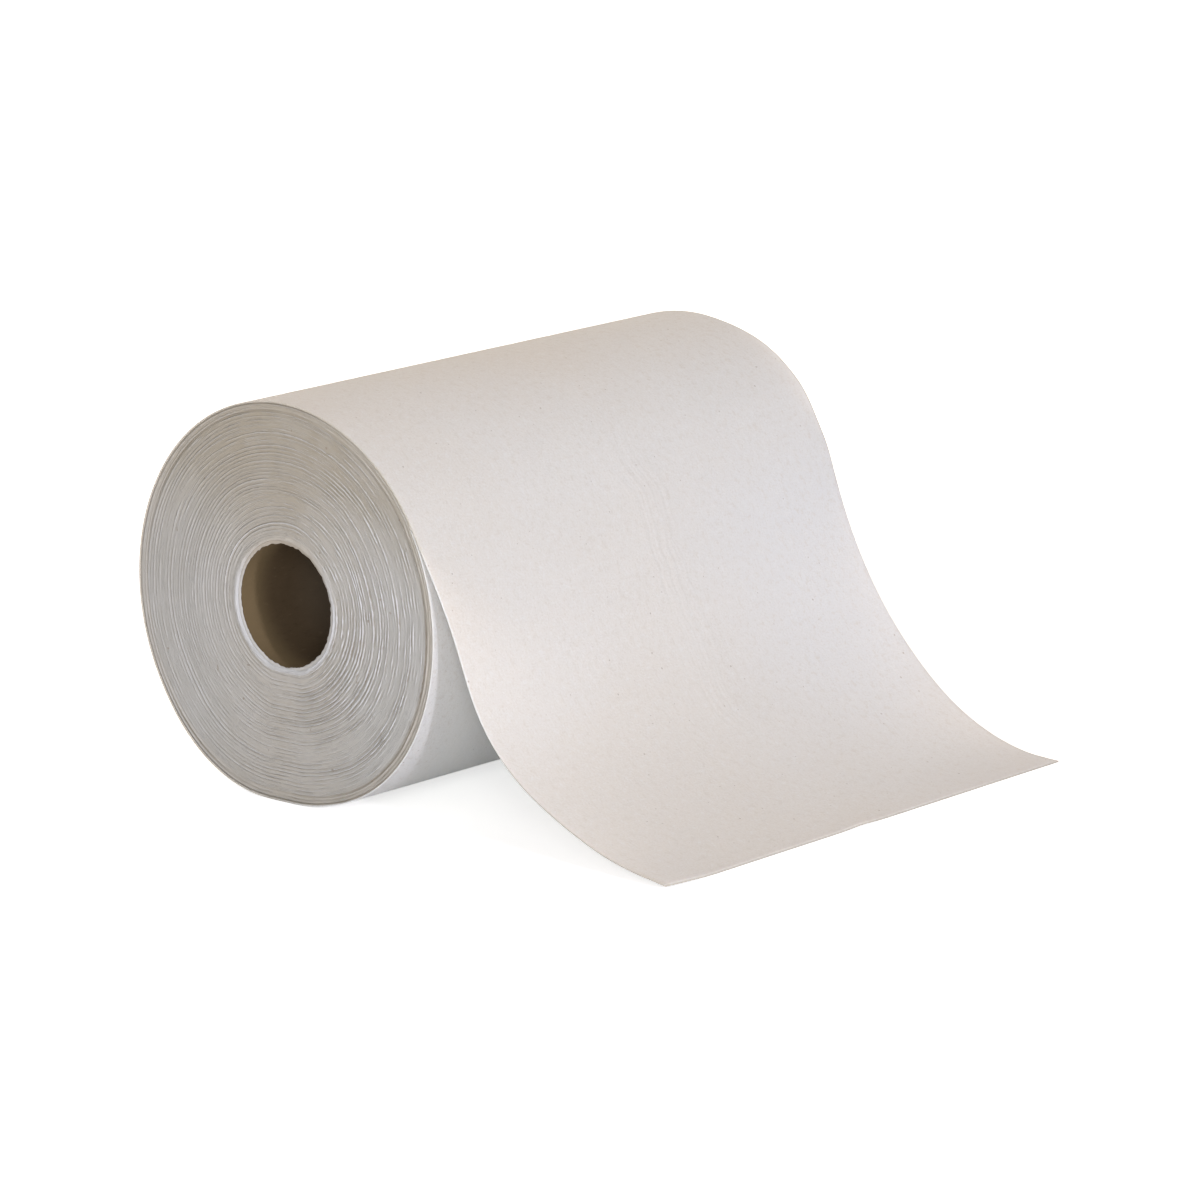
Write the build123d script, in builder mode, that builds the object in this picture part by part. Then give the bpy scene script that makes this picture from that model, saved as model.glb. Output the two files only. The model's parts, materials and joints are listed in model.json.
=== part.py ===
from build123d import *
from math import acos, cos, degrees, pi, radians, sin
import os

# A hardwound roll of paper towel, lying on its side with its free end let down in front.
# Frame: origin on the floor under the roll's axis, half way along the roll.
# +X is the way the free leaf runs, +Y runs along the roll, +Z is up. Millimetres.

# Roll, as a printed specification gives it
ROLL_RADIUS = 67.0
WEB_WIDTH = 200.0
CORE_BORE_RADIUS = 20.65
CORE_WALL = 1.0

# The soft spot that the roll lies on. Its own weight presses it flat there, between two
# toes, and pushes the slack outer turns out on both sides, further at the back. Each stop
# is an angle from the top of the roll and how far the turns stand out there.
AXIS_HEIGHT = 65.6
FRONT_TOE = 2.0
FRONT_FOOT = ((147.0, 0.9), (129.0, 1.1), (90.0, 0.0))
BACK_TOE = 7.6
BACK_FOOT = ((157.0, 0.85), (129.0, 0.3), (124.0, 0.0))

# The free leaf: paper thickness, the angle from the top of the roll at which it lifts
# off, and the gap that it leaves to the turn below
LEAF_THICKNESS = 0.4
LIFT_OFF_ANGLE = 60.0
LIFT_OFF_GAP = 0.25

# The way the leaf falls: stretches of arc, each with its length and how far it turns the
# leaf towards the floor, and a last arc of the radius given, which ends on the floor.
# The first stretch turns the other way, because the slack turn stands off the roll.
LEAF_STRETCHES = ((39.0, -9.6), (58.0, 34.0))
LANDING_RADIUS = 98.0

# The wound turns. The outermost ones stand a little proud of the slit ends, and the
# rest show as fine uneven ridges.
RIM_WIDTH = 1.1
RIM_HEIGHT = 0.5
RIDGE_COUNT = 19
RIDGE_HEIGHT = 0.8
RIDGE_WANDER = 0.3
PLAIN_TURNS_AT_CORE = 1.5
PLAIN_TURNS_AT_RIM = 2.4
CORE_RECESS = 0.8

core_outer_radius = CORE_BORE_RADIUS + CORE_WALL
core_length = WEB_WIDTH - 2 * CORE_RECESS
wound_turns_radius = ROLL_RADIUS - LEAF_THICKNESS - LIFT_OFF_GAP
near_end = Plane.XZ.offset(WEB_WIDTH / 2)
far_end = Plane.XZ.offset(-WEB_WIDTH / 2)
roll_axis = Axis((0, 0, AXIS_HEIGHT), (0, 1, 0))

os.makedirs("parts", exist_ok=True)


def on_roll(radius, angle):
    """A point of the roll's section, at an angle from its top towards the leaf."""
    return (radius * sin(radians(angle)), AXIS_HEIGHT + radius * cos(radians(angle)))


def foot_arcs(toe, stops, heading):
    """Arcs from one end of the flat up to the round of the roll, each tangent to the last."""
    start = toe
    for stop in stops:
        arc = TangentArc(start, stop, tangent=heading)
        start = stop
        heading = arc % 1


def roll_outline(inset=0.0):
    """The wound roll's outline, round but for its soft foot, drawn in by an inset."""
    back_radius = ROLL_RADIUS - inset
    front_radius = wound_turns_radius - inset
    step_top = on_roll(back_radius, LIFT_OFF_ANGLE)
    step_foot = on_roll(front_radius, LIFT_OFF_ANGLE)
    front_stops = [on_roll(front_radius + out, angle) for angle, out in FRONT_FOOT]
    back_stops = [on_roll(back_radius + out, -angle) for angle, out in BACK_FOOT]
    front_toe = (FRONT_TOE, inset)
    back_toe = (-BACK_TOE, inset)

    Line(step_top, step_foot)
    ThreePointArc(step_foot, on_roll(front_radius, (LIFT_OFF_ANGLE + 90) / 2), front_stops[-1])
    foot_arcs(front_toe, front_stops, (1, 0))
    Line(front_toe, back_toe)
    foot_arcs(back_toe, back_stops, (-1, 0))
    ThreePointArc(back_stops[-1], on_roll(back_radius, -30), step_top)


def leaf_face(depth):
    """One face of the leaf, at a depth below its outer face. Returns its two ends."""
    root = Vector(*on_roll(ROLL_RADIUS - depth, LIFT_OFF_ANGLE))
    height_over_under_face = LEAF_THICKNESS - depth
    start = root
    fall = radians(LIFT_OFF_ANGLE)
    for length, turn in LEAF_STRETCHES:
        radius = length / radians(turn)
        stretch = JernArc(start, (cos(fall), -sin(fall)), abs(radius - height_over_under_face), turn)
        start = stretch @ 1
        fall -= radians(turn)
    under_height = start.Y - height_over_under_face * cos(fall)
    landing = acos(cos(fall) + under_height / LANDING_RADIUS)
    last_radius = LANDING_RADIUS - height_over_under_face
    last = JernArc(start, (cos(fall), -sin(fall)), last_radius, degrees(fall - landing))
    return root, last @ 1


def leaf_outline():
    """The closed outline of the free leaf, seen from the end of the roll."""
    outer_root, outer_tip = leaf_face(0)
    under_root, under_tip = leaf_face(LEAF_THICKNESS)
    Line(outer_tip, under_tip)
    Line(under_root, outer_root)


def ridge_profile(end, phase):
    """The zigzag of the turns' edges on one end, closed outside the roll."""
    inner = core_outer_radius + PLAIN_TURNS_AT_CORE
    outer = AXIS_HEIGHT - PLAIN_TURNS_AT_RIM
    pitch = (outer - inner) / (2 * RIDGE_COUNT)
    face = WEB_WIDTH / 2 - RIM_HEIGHT
    corners = [(inner, face)]
    for step in range(1, 2 * RIDGE_COUNT):
        radius = inner + pitch * (step + RIDGE_WANDER * sin(2.1 * step + phase))
        unevenness = 0.7 + 0.3 * sin(1.3 * step + phase)
        depth = RIDGE_HEIGHT * unevenness if step % 2 else 0.25 * RIDGE_HEIGHT * unevenness
        corners.append((radius, face - depth))
    corners.append((outer, face))
    return [(end * along, AXIS_HEIGHT + radius) for radius, along in corners]


# Paperboard tube that the web is wound on
with BuildPart() as core_tube:
    with BuildSketch(Plane.XZ.offset(core_length / 2)):
        with Locations((0, AXIS_HEIGHT)):
            Circle(core_outer_radius)
            Circle(CORE_BORE_RADIUS, mode=Mode.SUBTRACT)
    extrude(amount=-core_length)
core_tube.part.label = "core_tube"
export_step(core_tube.part, "parts/core_tube.step")

# Web: every wound turn and the free leaf, in one piece
with BuildPart() as towel_web:
    with BuildSketch(near_end):
        with BuildLine():
            roll_outline()
        make_face()
        with BuildLine():
            leaf_outline()
        make_face()
    extrude(amount=-WEB_WIDTH)

    # Seat of the core
    with BuildSketch(near_end):
        with Locations((0, AXIS_HEIGHT)):
            Circle(core_outer_radius)
    extrude(amount=-WEB_WIDTH, mode=Mode.SUBTRACT)

    # Both ends: the field inside the rim, then the ridges of the turns
    for end, inward, phase in ((near_end, -1, 0.0), (far_end, 1, pi / 3)):
        with BuildSketch(end):
            with BuildLine():
                roll_outline(RIM_WIDTH)
            make_face()
        extrude(amount=inward * RIM_HEIGHT, mode=Mode.SUBTRACT)
        with BuildSketch(Plane.YZ):
            with BuildLine():
                Polyline(*ridge_profile(inward, phase), close=True)
            make_face()
        revolve(axis=roll_axis, mode=Mode.SUBTRACT)
towel_web.part.label = "towel_web"
export_step(towel_web.part, "parts/towel_web.step")
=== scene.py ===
"""A hardwound roll of paper towel that lies on its side, its free end let down to the floor.

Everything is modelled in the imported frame, in metres: +X is the way the free leaf runs, +Y
runs along the roll and +Z is up. The frame gives the roll's width, its radius, the height of
its axis and the core's bore. The paper is one long web: the wound turns are one piece, and
the last loose turn with the free leaf is another, which lies round it. The core is a third.
"""

from __future__ import annotations

import json
import logging
import math
from dataclasses import dataclass
from enum import Enum
from typing import Callable, Sequence

import bmesh
import bpy
from mathutils import Matrix, Vector, noise

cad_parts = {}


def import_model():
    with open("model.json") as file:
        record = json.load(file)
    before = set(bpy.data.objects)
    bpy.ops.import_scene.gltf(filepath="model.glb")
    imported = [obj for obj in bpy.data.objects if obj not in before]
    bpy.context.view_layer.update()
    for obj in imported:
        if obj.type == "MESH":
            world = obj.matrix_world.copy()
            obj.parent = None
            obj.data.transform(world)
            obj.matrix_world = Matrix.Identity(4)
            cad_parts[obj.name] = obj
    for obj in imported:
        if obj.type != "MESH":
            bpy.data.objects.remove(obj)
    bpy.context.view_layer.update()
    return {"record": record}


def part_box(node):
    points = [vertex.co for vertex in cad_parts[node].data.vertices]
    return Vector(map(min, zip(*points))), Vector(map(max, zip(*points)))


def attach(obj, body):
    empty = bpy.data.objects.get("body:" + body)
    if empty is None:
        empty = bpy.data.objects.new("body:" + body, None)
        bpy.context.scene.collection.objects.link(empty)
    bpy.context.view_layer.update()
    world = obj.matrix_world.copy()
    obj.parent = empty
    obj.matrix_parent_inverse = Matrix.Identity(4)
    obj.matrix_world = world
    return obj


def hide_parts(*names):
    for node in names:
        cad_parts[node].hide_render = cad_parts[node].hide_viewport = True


LOG = logging.getLogger("towel_roll")
MM = 0.001


class RollEnd(Enum):
    """The two slit ends of the roll, by the side of the frame that they face."""

    NEAR = -1
    FAR = 1


def smooth(low: float, high: float, value: float) -> float:
    """Eased step.

    Args:
        low: Value at which the step starts.
        high: Value at which it is done; below low it runs downwards.
        value: Where to look.

    Returns:
        0 before low, 1 past high, and a smooth ramp between them.
    """
    along = min(1.0, max(0.0, (value - low) / (high - low)))
    return along * along * (3 - 2 * along)


def bump(centre: float, width: float, value: float) -> float:
    """Bell of height 1.

    Args:
        centre: Where the bell stands.
        width: Its half width.
        value: Where to look.

    Returns:
        The height of the bell there.
    """
    return math.exp(-(((value - centre) / width) ** 2))


def band(start: float, risen: float, falling: float, end: float, value: float) -> float:
    """Eased band.

    Args:
        start: Where the band starts to rise.
        risen: Where it is full.
        falling: Where it starts to fall again.
        end: Where it is gone.
        value: Where to look.

    Returns:
        1 within the band and 0 outside it.
    """
    return smooth(start, risen, value) * smooth(end, falling, value)


def swing(angle: float, centre: float) -> float:
    """How far apart two angles are, the short way round, in degrees."""
    return abs((angle - centre + 180) % 360 - 180)


def through_stops(stops: Sequence[tuple[float, float]], at: float) -> float:
    """Smooth curve through a few stops.

    Args:
        stops: Pairs of place and value, in rising order of place.
        at: The place to look at.

    Returns:
        The value of a cubic curve through the stops, flat past both ends.
    """
    if at <= stops[0][0]:
        return stops[0][1]
    for index in range(len(stops) - 1):
        (x0, y0), (x1, y1) = stops[index], stops[index + 1]
        if at <= x1:
            before = stops[max(index - 1, 0)]
            after = stops[min(index + 2, len(stops) - 1)]
            slope0 = (y1 - before[1]) / (x1 - before[0]) * (x1 - x0)
            slope1 = (after[1] - y0) / (after[0] - x0) * (x1 - x0)
            u = (at - x0) / (x1 - x0)
            return (
                (2 * u**3 - 3 * u**2 + 1) * y0
                + (u**3 - 2 * u**2 + u) * slope0
                + (3 * u**2 - 2 * u**3) * y1
                + (u**3 - u**2) * slope1
            )
    return stops[-1][1]


@dataclass
class RollSection:
    """Section of the roll across its axis: a tight spiral on a soft foot that it lies on.

    Angles are in degrees from the top of the roll, positive towards the free leaf. Each foot
    stop is such an angle and how far the outermost turns stand out there, in millimetres.
    """

    axis_height: float
    radius: float
    core_radius: float
    foot: tuple[tuple[float, float], ...] = (
        (-180, -0.97),
        (-173.4, -0.54),
        (-166, 0.40),
        (-157, 1.20),
        (-146, 1.55),
        (-134, 1.25),
        (-122, 0.65),
        (-105, 0.40),
        (-85, 0.27),
        (0, 0.11),
        (60, 0.0),
        (90, 0.0),
        (110, 0.40),
        (129, 0.97),
        (147, 0.74),
        (160, -0.13),
        (171, -0.65),
        (180, -0.97),
    )
    foot_reach: float = 1.6

    def radius_at(self, angle: float, turn: float) -> float:
        """Distance of a turn from the axis.

        Args:
            angle: Where to look, in degrees.
            turn: Radius that the turn was wound to, in metres.

        Returns:
            The radius there. The soft foot fades towards the core.
        """
        wrapped = (angle + 180) % 360 - 180
        wound = (turn - self.core_radius) / (self.radius - self.core_radius)
        return turn + through_stops(self.foot, wrapped) * MM * max(wound, 0.0) ** self.foot_reach

    def place(self, angle: float, turn: float, along: float, floor: float = 0.0) -> Vector:
        """Point of a turn.

        Args:
            angle: Where to look, in degrees.
            turn: Radius that the turn was wound to, in metres.
            along: Place along the roll's axis.
            floor: Height that the turn rests at.

        Returns:
            The point in the frame.
        """
        radius = self.radius_at(angle, turn)
        around = math.radians(angle)
        height = self.axis_height + radius * math.cos(around)
        return Vector((radius * math.sin(around), along, max(height, floor)))


@dataclass
class EdgeFall:
    """The way one edge of the free leaf falls from the roll to the floor.

    Each stretch is an arc's length in millimetres and how far it levels the leaf out, in
    degrees. The curve between them is eased, as a sheet of paper bends.
    """

    stretches: tuple[tuple[float, float], ...]
    start_fall: float
    easing: float = 14.0
    easing_samples: int = 7
    step: float = 0.5

    def path(self, start: Vector, floor: float) -> list[Vector]:
        """Points down the edge.

        Args:
            start: Where the leaf leaves the roll.
            floor: Height at which its end lies.

        Returns:
            Points half a millimetre apart, in metres.
        """
        length = sum(stretch for stretch, _ in self.stretches)
        count = round(length / self.step)
        point = start.copy()
        points = [start.copy()]
        for index in range(count):
            fall = math.radians(self.fall_at((index + 0.5) * self.step))
            point = point + Vector((math.cos(fall), 0, -math.sin(fall))) * self.step * MM
            points.append(point)
        miss = points[-1].z - floor
        for index, each in enumerate(points):
            each.z -= miss * (index / count) ** 2
        return points

    def fall_at(self, along: float) -> float:
        """Slope of the edge, evened out over the easing length.

        Args:
            along: Place down the edge, in millimetres.

        Returns:
            How steeply it falls there, in degrees.
        """
        total = 0.0
        for sample in range(self.easing_samples):
            at = along + self.easing * (sample / (self.easing_samples - 1) - 0.5)
            total += self.sharp_fall(max(at, 0.0))
        return total / self.easing_samples

    def sharp_fall(self, along: float) -> float:
        """Slope of the edge as its arcs give it.

        Args:
            along: Place down the edge, in millimetres.

        Returns:
            How steeply it falls there, in degrees.
        """
        fall = self.start_fall
        for length, turn in self.stretches:
            share = min(along / length, 1.0)
            fall -= turn * share
            along -= length
            if along <= 0:
                break
        return fall


class Value:
    """A number inside a material, with its arithmetic written as Python."""

    def __init__(self, tree: bpy.types.NodeTree, socket: bpy.types.NodeSocket) -> None:
        """Wraps an output socket.

        Args:
            tree: The node tree that the socket is in.
            socket: The output that carries the number.
        """
        self.tree = tree
        self.socket = socket

    def math(self, operation: str, *others: "Value | float") -> "Value":
        """Adds one Math node.

        Args:
            operation: The node's operation.
            others: The values after this one.

        Returns:
            The node's result.
        """
        node = self.tree.nodes.new("ShaderNodeMath")
        node.operation = operation
        for place, value in enumerate((self, *others)):
            if isinstance(value, Value):
                self.tree.links.new(value.socket, node.inputs[place])
            else:
                node.inputs[place].default_value = value
        return Value(self.tree, node.outputs[0])

    def reflected(self, operation: str, first: float) -> "Value":
        """Adds one Math node whose first value is a plain number.

        Args:
            operation: The node's operation.
            first: The number.

        Returns:
            The node's result.
        """
        node = self.tree.nodes.new("ShaderNodeMath")
        node.operation = operation
        node.inputs[0].default_value = first
        self.tree.links.new(self.socket, node.inputs[1])
        return Value(self.tree, node.outputs[0])

    def __add__(self, other: "Value | float") -> "Value":
        """Sum."""
        return self.math("ADD", other)

    __radd__ = __add__

    def __sub__(self, other: "Value | float") -> "Value":
        """Difference."""
        return self.math("SUBTRACT", other)

    def __rsub__(self, other: float) -> "Value":
        """Difference from a number."""
        return self.reflected("SUBTRACT", other)

    def __mul__(self, other: "Value | float") -> "Value":
        """Product."""
        return self.math("MULTIPLY", other)

    __rmul__ = __mul__

    def ramp(self, low: float, high: float) -> "Value":
        """Eased step of this value.

        Args:
            low: Where the step starts.
            high: Where it is done; with low above high, it runs downwards.

        Returns:
            A mask from 0 to 1.
        """
        node = self.tree.nodes.new("ShaderNodeMapRange")
        node.interpolation_type = "SMOOTHSTEP"
        falling = low > high
        node.inputs["From Min"].default_value = min(low, high)
        node.inputs["From Max"].default_value = max(low, high)
        node.inputs["To Min"].default_value = 1.0 if falling else 0.0
        node.inputs["To Max"].default_value = 0.0 if falling else 1.0
        self.tree.links.new(self.socket, node.inputs["Value"])
        return Value(self.tree, node.outputs["Result"])

    def band(self, start: float, risen: float, falling: float, end: float) -> "Value":
        """Eased band of this value.

        Args:
            start: Where the band starts to rise.
            risen: Where it is full.
            falling: Where it starts to fall again.
            end: Where it is gone.

        Returns:
            A mask, 1 within the band and 0 outside it.
        """
        return self.ramp(start, risen) * self.ramp(end, falling)


@dataclass(frozen=True)
class Relief:
    """Fine relief of a surface: its height, how strongly it shows and its depth in metres."""

    height: Value
    strength: float
    depth: float


class MaterialTree:
    """The nodes of one material or world, made in one way."""

    def __init__(self, owner: bpy.types.Material | bpy.types.World) -> None:
        """Starts an empty tree.

        Args:
            owner: The material or world that the nodes are for.
        """
        owner.use_nodes = True
        self.tree = owner.node_tree
        self.tree.nodes.clear()

    def make(
        self, kind: str, settings: dict[str, object] | None = None, **values: object
    ) -> bpy.types.Node:
        """Adds a node.

        Args:
            kind: The node's type.
            settings: Its own settings, set first.
            values: Numbers, colours, values or sockets for its inputs. An underscore in a
                name stands for a space.

        Returns:
            The node.
        """
        node = self.tree.nodes.new(kind)
        for name, setting in (settings or {}).items():
            setattr(node, name, setting)
        for name, value in values.items():
            self.feed(node.inputs[name.replace("_", " ")], value)
        return node

    def feed(self, socket: bpy.types.NodeSocket, value: object) -> None:
        """Sets or links one input.

        Args:
            socket: The input.
            value: A number, a colour, a vector, a Value or an output socket.
        """
        if isinstance(value, Value):
            self.tree.links.new(value.socket, socket)
        elif isinstance(value, bpy.types.NodeSocket):
            self.tree.links.new(value, socket)
        else:
            socket.default_value = value

    def value(self, node: bpy.types.Node, output: str) -> Value:
        """One output of a node as a number."""
        return Value(self.tree, node.outputs[output])

    def attribute(self, name: str) -> Value:
        """A number that the mesh carries at its points."""
        node = self.make("ShaderNodeAttribute", {"attribute_name": name})
        return self.value(node, "Fac")

    def joined(self, x: Value | float, y: Value | float, z: Value | float) -> bpy.types.NodeSocket:
        """A vector made of three numbers."""
        return self.make("ShaderNodeCombineXYZ", X=x, Y=y, Z=z).outputs["Vector"]

    def cloud(
        self, vector: bpy.types.NodeSocket, scale: float, detail: float, rough: float = 0.5
    ) -> Value:
        """Cloudy noise.

        Args:
            vector: Where it is read.
            scale: Its spots to the unit.
            detail: How many finer layers it has.
            rough: How strong the finer layers are.

        Returns:
            Its height, about 0.5 on average.
        """
        node = self.make("ShaderNodeTexNoise", Vector=vector, Scale=scale, Detail=detail, Roughness=rough)
        return self.value(node, "Fac")

    def blend(self, mask: Value | float, first: object, second: object) -> bpy.types.NodeSocket:
        """Mixes two colours.

        Args:
            mask: 0 for the first and 1 for the second.
            first: A colour or an output socket.
            second: A colour or an output socket.

        Returns:
            The mixed colour.
        """
        node = self.make("ShaderNodeMix", {"data_type": "RGBA", "clamp_factor": True})
        self.feed(node.inputs[0], mask)
        self.feed(node.inputs[6], first)
        self.feed(node.inputs[7], second)
        return node.outputs[2]

    def layered(self, base: object, *layers: tuple[Value, float, object]) -> bpy.types.NodeSocket:
        """Lays colours over one another.

        Args:
            base: The lowest colour.
            layers: The mask, the strength and the colour of each layer, from the lowest up.

        Returns:
            The mixed colour.
        """
        for mask, strength, colour in layers:
            base = self.blend(mask * strength, base, colour)
        return base

    def finish(self, surface: bpy.types.NodeSocket, kind: str = "ShaderNodeOutputMaterial") -> None:
        """Links the surface to the tree's output."""
        self.make(kind, Surface=surface)

    def matt_surface(
        self, colour: bpy.types.NodeSocket, roughness: float, gloss: float, relief: Relief
    ) -> bpy.types.Node:
        """Adds an uncoated surface and links it to the output.

        Args:
            colour: Its colour.
            roughness: How rough it is.
            gloss: How much it mirrors, seen straight on.
            relief: Its fine relief.

        Returns:
            The shader.
        """
        bumps = self.make(
            "ShaderNodeBump", Strength=relief.strength, Distance=relief.depth, Height=relief.height
        )
        shader = self.make(
            "ShaderNodeBsdfPrincipled",
            Base_Color=colour,
            Roughness=roughness,
            Normal=bumps.outputs["Normal"],
        )
        shader.inputs["Specular IOR Level"].default_value = gloss
        self.finish(shader.outputs["BSDF"])
        return shader


Colour = tuple[float, float, float, float]
Band = tuple[float, float, float, float]


@dataclass(frozen=True)
class TowelPaperFinish:
    """Soft uncoated towelling, off-white, with pulp mottle, faint crepe and stray flecks.

    Scales are spots to the metre. Each band is where a mask rises, is full, starts to fall and
    is gone, in metres along the sheet, or across it for the lane of the creases.
    """

    warm: Colour = (0.765, 0.712, 0.668, 1)
    # Cool tone: partly the paper's own drift, partly painted cool light towards the sheet's far edge.
    cool_tone_and_light: Colour = (0.775, 0.748, 0.732, 1)
    # Painted cool light on the far side of the free leaf.
    far_leaf_cool_light: Colour = (0.765, 0.760, 0.780, 1)
    pulp_shade: Colour = (0.66, 0.60, 0.545, 1)
    pulp_light: Colour = (0.83, 0.81, 0.80, 1)
    fleck: Colour = (0.38, 0.31, 0.26, 1)
    # The cut edge: pale as a painted highlight on the roll's front and the leaf's upper near edge, and
    # its own duller colour elsewhere.
    cut_edge: Colour = (0.83, 0.815, 0.80, 1)
    dull_edge: Colour = (0.53, 0.49, 0.435, 1)
    # Paler paper on the roll's front under the leaf: painted light in its shade.
    painted_light_first_turn: Colour = (0.875, 0.855, 0.84, 1)
    # Painted light deep in the shade under the leaf, on the roll's front.
    painted_light_under_leaf: Colour = (0.925, 0.925, 0.885, 1)
    # Painted shade at the far corner of the leaf's end.
    end_shade: Colour = (0.60, 0.57, 0.555, 1)
    roughness: float = 0.93
    gloss: float = 0.2
    see_through: float = 1.0
    see_through_tint: tuple[float, float, float] = (1.0, 0.95, 0.9)
    see_through_depth: float = 0.0012
    drift_scale: float = 9.0
    mottle_scale: float = 380.0
    fuzz_scale: float = 1300.0
    crepe_scale: float = 520.0
    crepe_stretch: float = 3.2
    fleck_scale: float = 700.0
    crease_run: Band = (0.39, 0.42, 0.50, 0.53)
    crease_lane: Band = (-0.008, 0.003, 0.009, 0.020)
    first_turn_light_run: Band = (0.0, 0.015, 0.14, 0.20)
    under_leaf_light_run: Band = (0.0, 0.015, 0.13, 0.16)
    cool_light_run: Band = (0.405, 0.45, 0.49, 0.55)
    edge_highlight_run: Band = (0.425, 0.435, 0.48, 0.51)
    tip_shade_run: tuple[float, float] = (0.535, 0.575)
    cut_edge_width: float = 0.0006

    def build(self) -> bpy.types.Material:
        """Makes the material.

        Returns:
            A material that reads the sheet's own attributes: run along it, place across it
            and how near a cut edge is, all in metres.
        """
        material = bpy.data.materials.new("towel_paper")
        nodes = MaterialTree(material)
        run = nodes.attribute("run")
        across = nodes.attribute("across")
        edge = nodes.attribute("cut_edge")
        flat = nodes.joined(run, across, 0.0)
        drift = nodes.cloud(flat, self.drift_scale, 2.0)
        mottle = nodes.cloud(flat, self.mottle_scale, 3.0, 0.6)
        fuzz = nodes.cloud(flat, self.fuzz_scale, 3.0, 0.7)
        crepe = nodes.cloud(nodes.joined(run * self.crepe_stretch, across, 0.0), self.crepe_scale, 2.0)
        wavy = across + (nodes.cloud(nodes.joined(run, 0.0, 0.0), 45.0, 1.0) - 0.5) * 0.016
        creases = nodes.cloud(nodes.joined(run * 30.0, wavy * 330.0, 0.0), 1.0, 1.0)
        creased = wavy.band(*self.crease_lane) * run.band(*self.crease_run)
        flecks = nodes.cloud(flat, self.fleck_scale, 0.0).ramp(0.84, 0.87)
        # Random drift of the paper's own tone, plus painted cool light rising across the sheet to its far
        # edge.
        drift_and_cool_light = drift.ramp(0.40, 0.60) * 0.45 + across.ramp(-0.03, 0.09) * 0.55
        # Painted cool light on the far side of the free leaf.
        painted_cool_light = across.ramp(-0.005, 0.075) * run.band(*self.cool_light_run)
        # Painted light deep in the shade under the leaf, on the roll's front.
        under_leaf_light_mask = run.band(*self.under_leaf_light_run) * across.ramp(-0.094, -0.072)
        # Painted shade towards the far corner of the leaf's end.
        tip_shade_mask = across.ramp(0.0, 0.10) * run.ramp(*self.tip_shade_run)
        # Painted highlight on the cut edge where the light catches it, on the roll's front and the leaf's
        # upper near edge.
        edge_highlight_mask = run.ramp(0.15, 0.12) + run.band(*self.edge_highlight_run)
        cut = nodes.blend(edge_highlight_mask, self.dull_edge, self.cut_edge)
        colour = nodes.layered(
            self.warm,
            (drift_and_cool_light, 1.0, self.cool_tone_and_light),
            # Painted light on the roll's front under the leaf.
            (run.band(*self.first_turn_light_run), 0.92, self.painted_light_first_turn),
            (painted_cool_light, 0.75, self.far_leaf_cool_light),
            (mottle.ramp(0.50, 0.75), 0.42, self.pulp_shade),
            (mottle.ramp(0.46, 0.26), 0.40, self.pulp_light),
            (fuzz.ramp(0.50, 0.74), 0.60, self.pulp_light),
            (fuzz.ramp(0.48, 0.26), 0.62, self.pulp_shade),
            (under_leaf_light_mask, 0.78, self.painted_light_under_leaf),
            (tip_shade_mask, 0.40, self.end_shade),
            (flecks, 0.55, self.fleck),
            # Cut edges, with their painted highlight.
            (edge.ramp(self.cut_edge_width, 0.0), 1.0, cut),
        )
        height = mottle * 0.5 + fuzz * 0.35 + crepe * 0.4 + creases * creased * 2.4
        shader = nodes.matt_surface(colour, self.roughness, self.gloss, Relief(height, 0.6, 0.25 * MM))
        shader.inputs["Subsurface Weight"].default_value = self.see_through
        shader.inputs["Subsurface Radius"].default_value = self.see_through_tint
        shader.inputs["Subsurface Scale"].default_value = self.see_through_depth
        return material


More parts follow.
